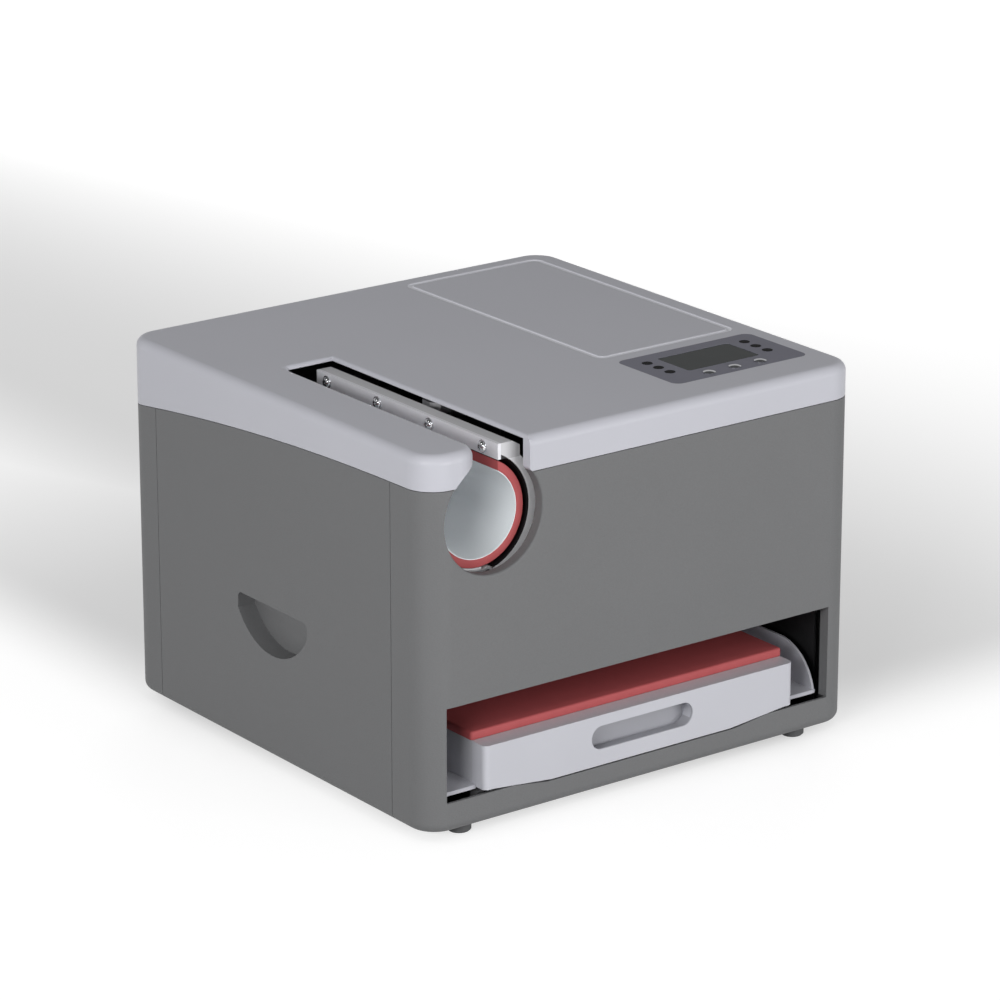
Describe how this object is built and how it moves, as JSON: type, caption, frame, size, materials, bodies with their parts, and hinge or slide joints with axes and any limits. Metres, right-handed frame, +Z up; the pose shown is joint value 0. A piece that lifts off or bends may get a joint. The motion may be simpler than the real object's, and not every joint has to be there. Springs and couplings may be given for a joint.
{
  "type": "two-station heat press",
  "caption": "Benchtop heat press with a round clamp heater for tumblers behind a front port and a flat press over a sliding drawer.",
  "frame": {"origin": "on the surface that the feet stand on, under the middle of the machine", "axes": "+X to the right as the user faces the front, +Y towards the back, +Z up; the front faces -Y"},
  "size_m": [0.44, 0.43, 0.3255],
  "materials": {
    "shell_dark": "fine moulded texture, dark grey",
    "cover_grey": "satin moulded, light cool grey",
    "drawer_grey": "satin moulded, light grey",
    "plate_dark": "fine matt, dark grey",
    "display_dark": "smoked glossy window",
    "module_dark": "matt",
    "lens_black": "gloss black",
    "key_chrome": "polished",
    "board_green": "solder mask",
    "frame_black": "black powder coat",
    "table_alloy": "painted light grey",
    "silicone_red": "matt silicone",
    "ground_steel": "ground",
    "support_alloy": "machined",
    "bearing_dark": "matt polymer",
    "platen_alloy": "machined",
    "insulation": "fibre board",
    "sheet_steel": "zinc-plated sheet",
    "bronze": "sintered bronze",
    "motor_dark": "satin",
    "clamp_alloy": "bead-blasted",
    "liner_steel": "satin",
    "screw_steel": "polished",
    "rubber_dark": "matt",
    "inlet_black": "matt",
    "rocker_black": "semi-gloss",
    "fan_black": "matt",
    "relay_white": "matt"
  },
  "bodies": {
    "housing": {"base_pan": "frame_black", "front_panel": "shell_dark", "side_panel_left": "shell_dark", "side_panel_right": "shell_dark", "rear_panel": "shell_dark", "top_cover": "cover_grey", "panel_screws": "screw_steel", "feet": "rubber_dark", "foot_screws": "screw_steel", "control_plate": "plate_dark", "display_window": "display_dark", "display_module": "module_dark", "indicator_lenses": "lens_black", "control_board": "board_green", "frame_side_left": "frame_black", "frame_side_right": "frame_black", "bridge": "frame_black", "guide_rods": "ground_steel", "rod_supports": "support_alloy", "guide_bushes": "bronze", "press_gearmotor": "motor_dark", "jaw_fixed": "clamp_alloy", "jaw_hinge_pin": "ground_steel", "heater_band": "silicone_red", "heater_liner": "liner_steel", "clamp_gearmotor": "motor_dark", "clamp_bracket": "frame_black", "bore_stop": "frame_black", "saddle_brackets": "frame_black", "power_inlet": "inlet_black", "switch_body": "inlet_black", "fan_frame": "fan_black", "fan_guard": "fan_black", "power_board": "board_green", "heater_relays": "relay_white"},
    "drawer": {"drawer_tray": "drawer_grey", "drawer_front": "drawer_grey", "press_table": "table_alloy", "silicone_pad": "silicone_red", "slide_bearings": "bearing_dark"},
    "platen": {"heat_platen": "platen_alloy", "platen_insulation": "insulation", "platen_cover": "sheet_steel", "guide_posts": "ground_steel", "press_nut": "bronze"},
    "press_spindle": {"press_screw": "ground_steel"},
    "jaw": {"jaw_moving": "clamp_alloy", "clip_bar": "clamp_alloy", "clip_screws": "screw_steel"},
    "pusher": {"clamp_pusher": "support_alloy"},
    "clamp_spindle": {"clamp_screw": "ground_steel"},
    "key_a": {"key_left": "key_chrome"},
    "key_b": {"key_middle": "key_chrome"},
    "key_c": {"key_right": "key_chrome"},
    "power_rocker": {"rocker": "rocker_black"},
    "rotor": {"fan_rotor": "fan_black"}
  },
  "joints": [
    {"name": "drawer_slide", "type": "slide", "parent": "housing", "child": "drawer", "axis": [0, -1, 0], "range_m": [0, 0.23]},
    {"name": "platen_slide", "type": "slide", "parent": "housing", "child": "platen", "axis": [0, 0, -1], "range_m": [0, 0.025]},
    {"name": "press_screw_spin", "type": "hinge", "parent": "housing", "child": "press_spindle", "pos_m": [-0.0033, -0.048, 0.15], "axis": [0, 0, 1], "range_deg": [0, 905]},
    {"name": "jaw_hinge", "type": "hinge", "parent": "housing", "child": "jaw", "pos_m": [-0.14671, -0.0725, 0.21285], "axis": [0, -1, 0], "range_deg": [0, 5]},
    {"name": "pusher_slide", "type": "slide", "parent": "housing", "child": "pusher", "axis": [-1, 0, 0], "range_m": [0, 0.0084]},
    {"name": "clamp_screw_spin", "type": "hinge", "parent": "housing", "child": "clamp_spindle", "pos_m": [-0.0965, -0.071, 0.31199], "axis": [1, 0, 0], "range_deg": [0, 490]},
    {"name": "key_left_press", "type": "slide", "parent": "housing", "child": "key_a", "axis": [0, 0, -1], "range_m": [0, 0.0012], "stiffness_N_per_m": 400},
    {"name": "key_middle_press", "type": "slide", "parent": "housing", "child": "key_b", "axis": [0, 0, -1], "range_m": [0, 0.0012], "stiffness_N_per_m": 400},
    {"name": "key_right_press", "type": "slide", "parent": "housing", "child": "key_c", "axis": [0, 0, -1], "range_m": [0, 0.0012], "stiffness_N_per_m": 400},
    {"name": "rocker_tilt", "type": "hinge", "parent": "housing", "child": "power_rocker", "pos_m": [0.155, 0.2065, 0.107], "axis": [-1, 0, 0], "range_deg": [0, 16]},
    {"name": "fan_spin", "type": "hinge", "parent": "housing", "child": "rotor", "pos_m": [0.06, 0.2, 0.2156], "axis": [0, 1, 0], "continuous": true}
  ],
  "couplings": [
    {"joint": "press_screw_spin", "follows": "platen_slide", "rad_per_m": 628.3},
    {"joint": "pusher_slide", "follows": "jaw_hinge", "m_per_rad": 0.0925},
    {"joint": "clamp_screw_spin", "follows": "jaw_hinge", "ratio": 96.8}
  ]
}
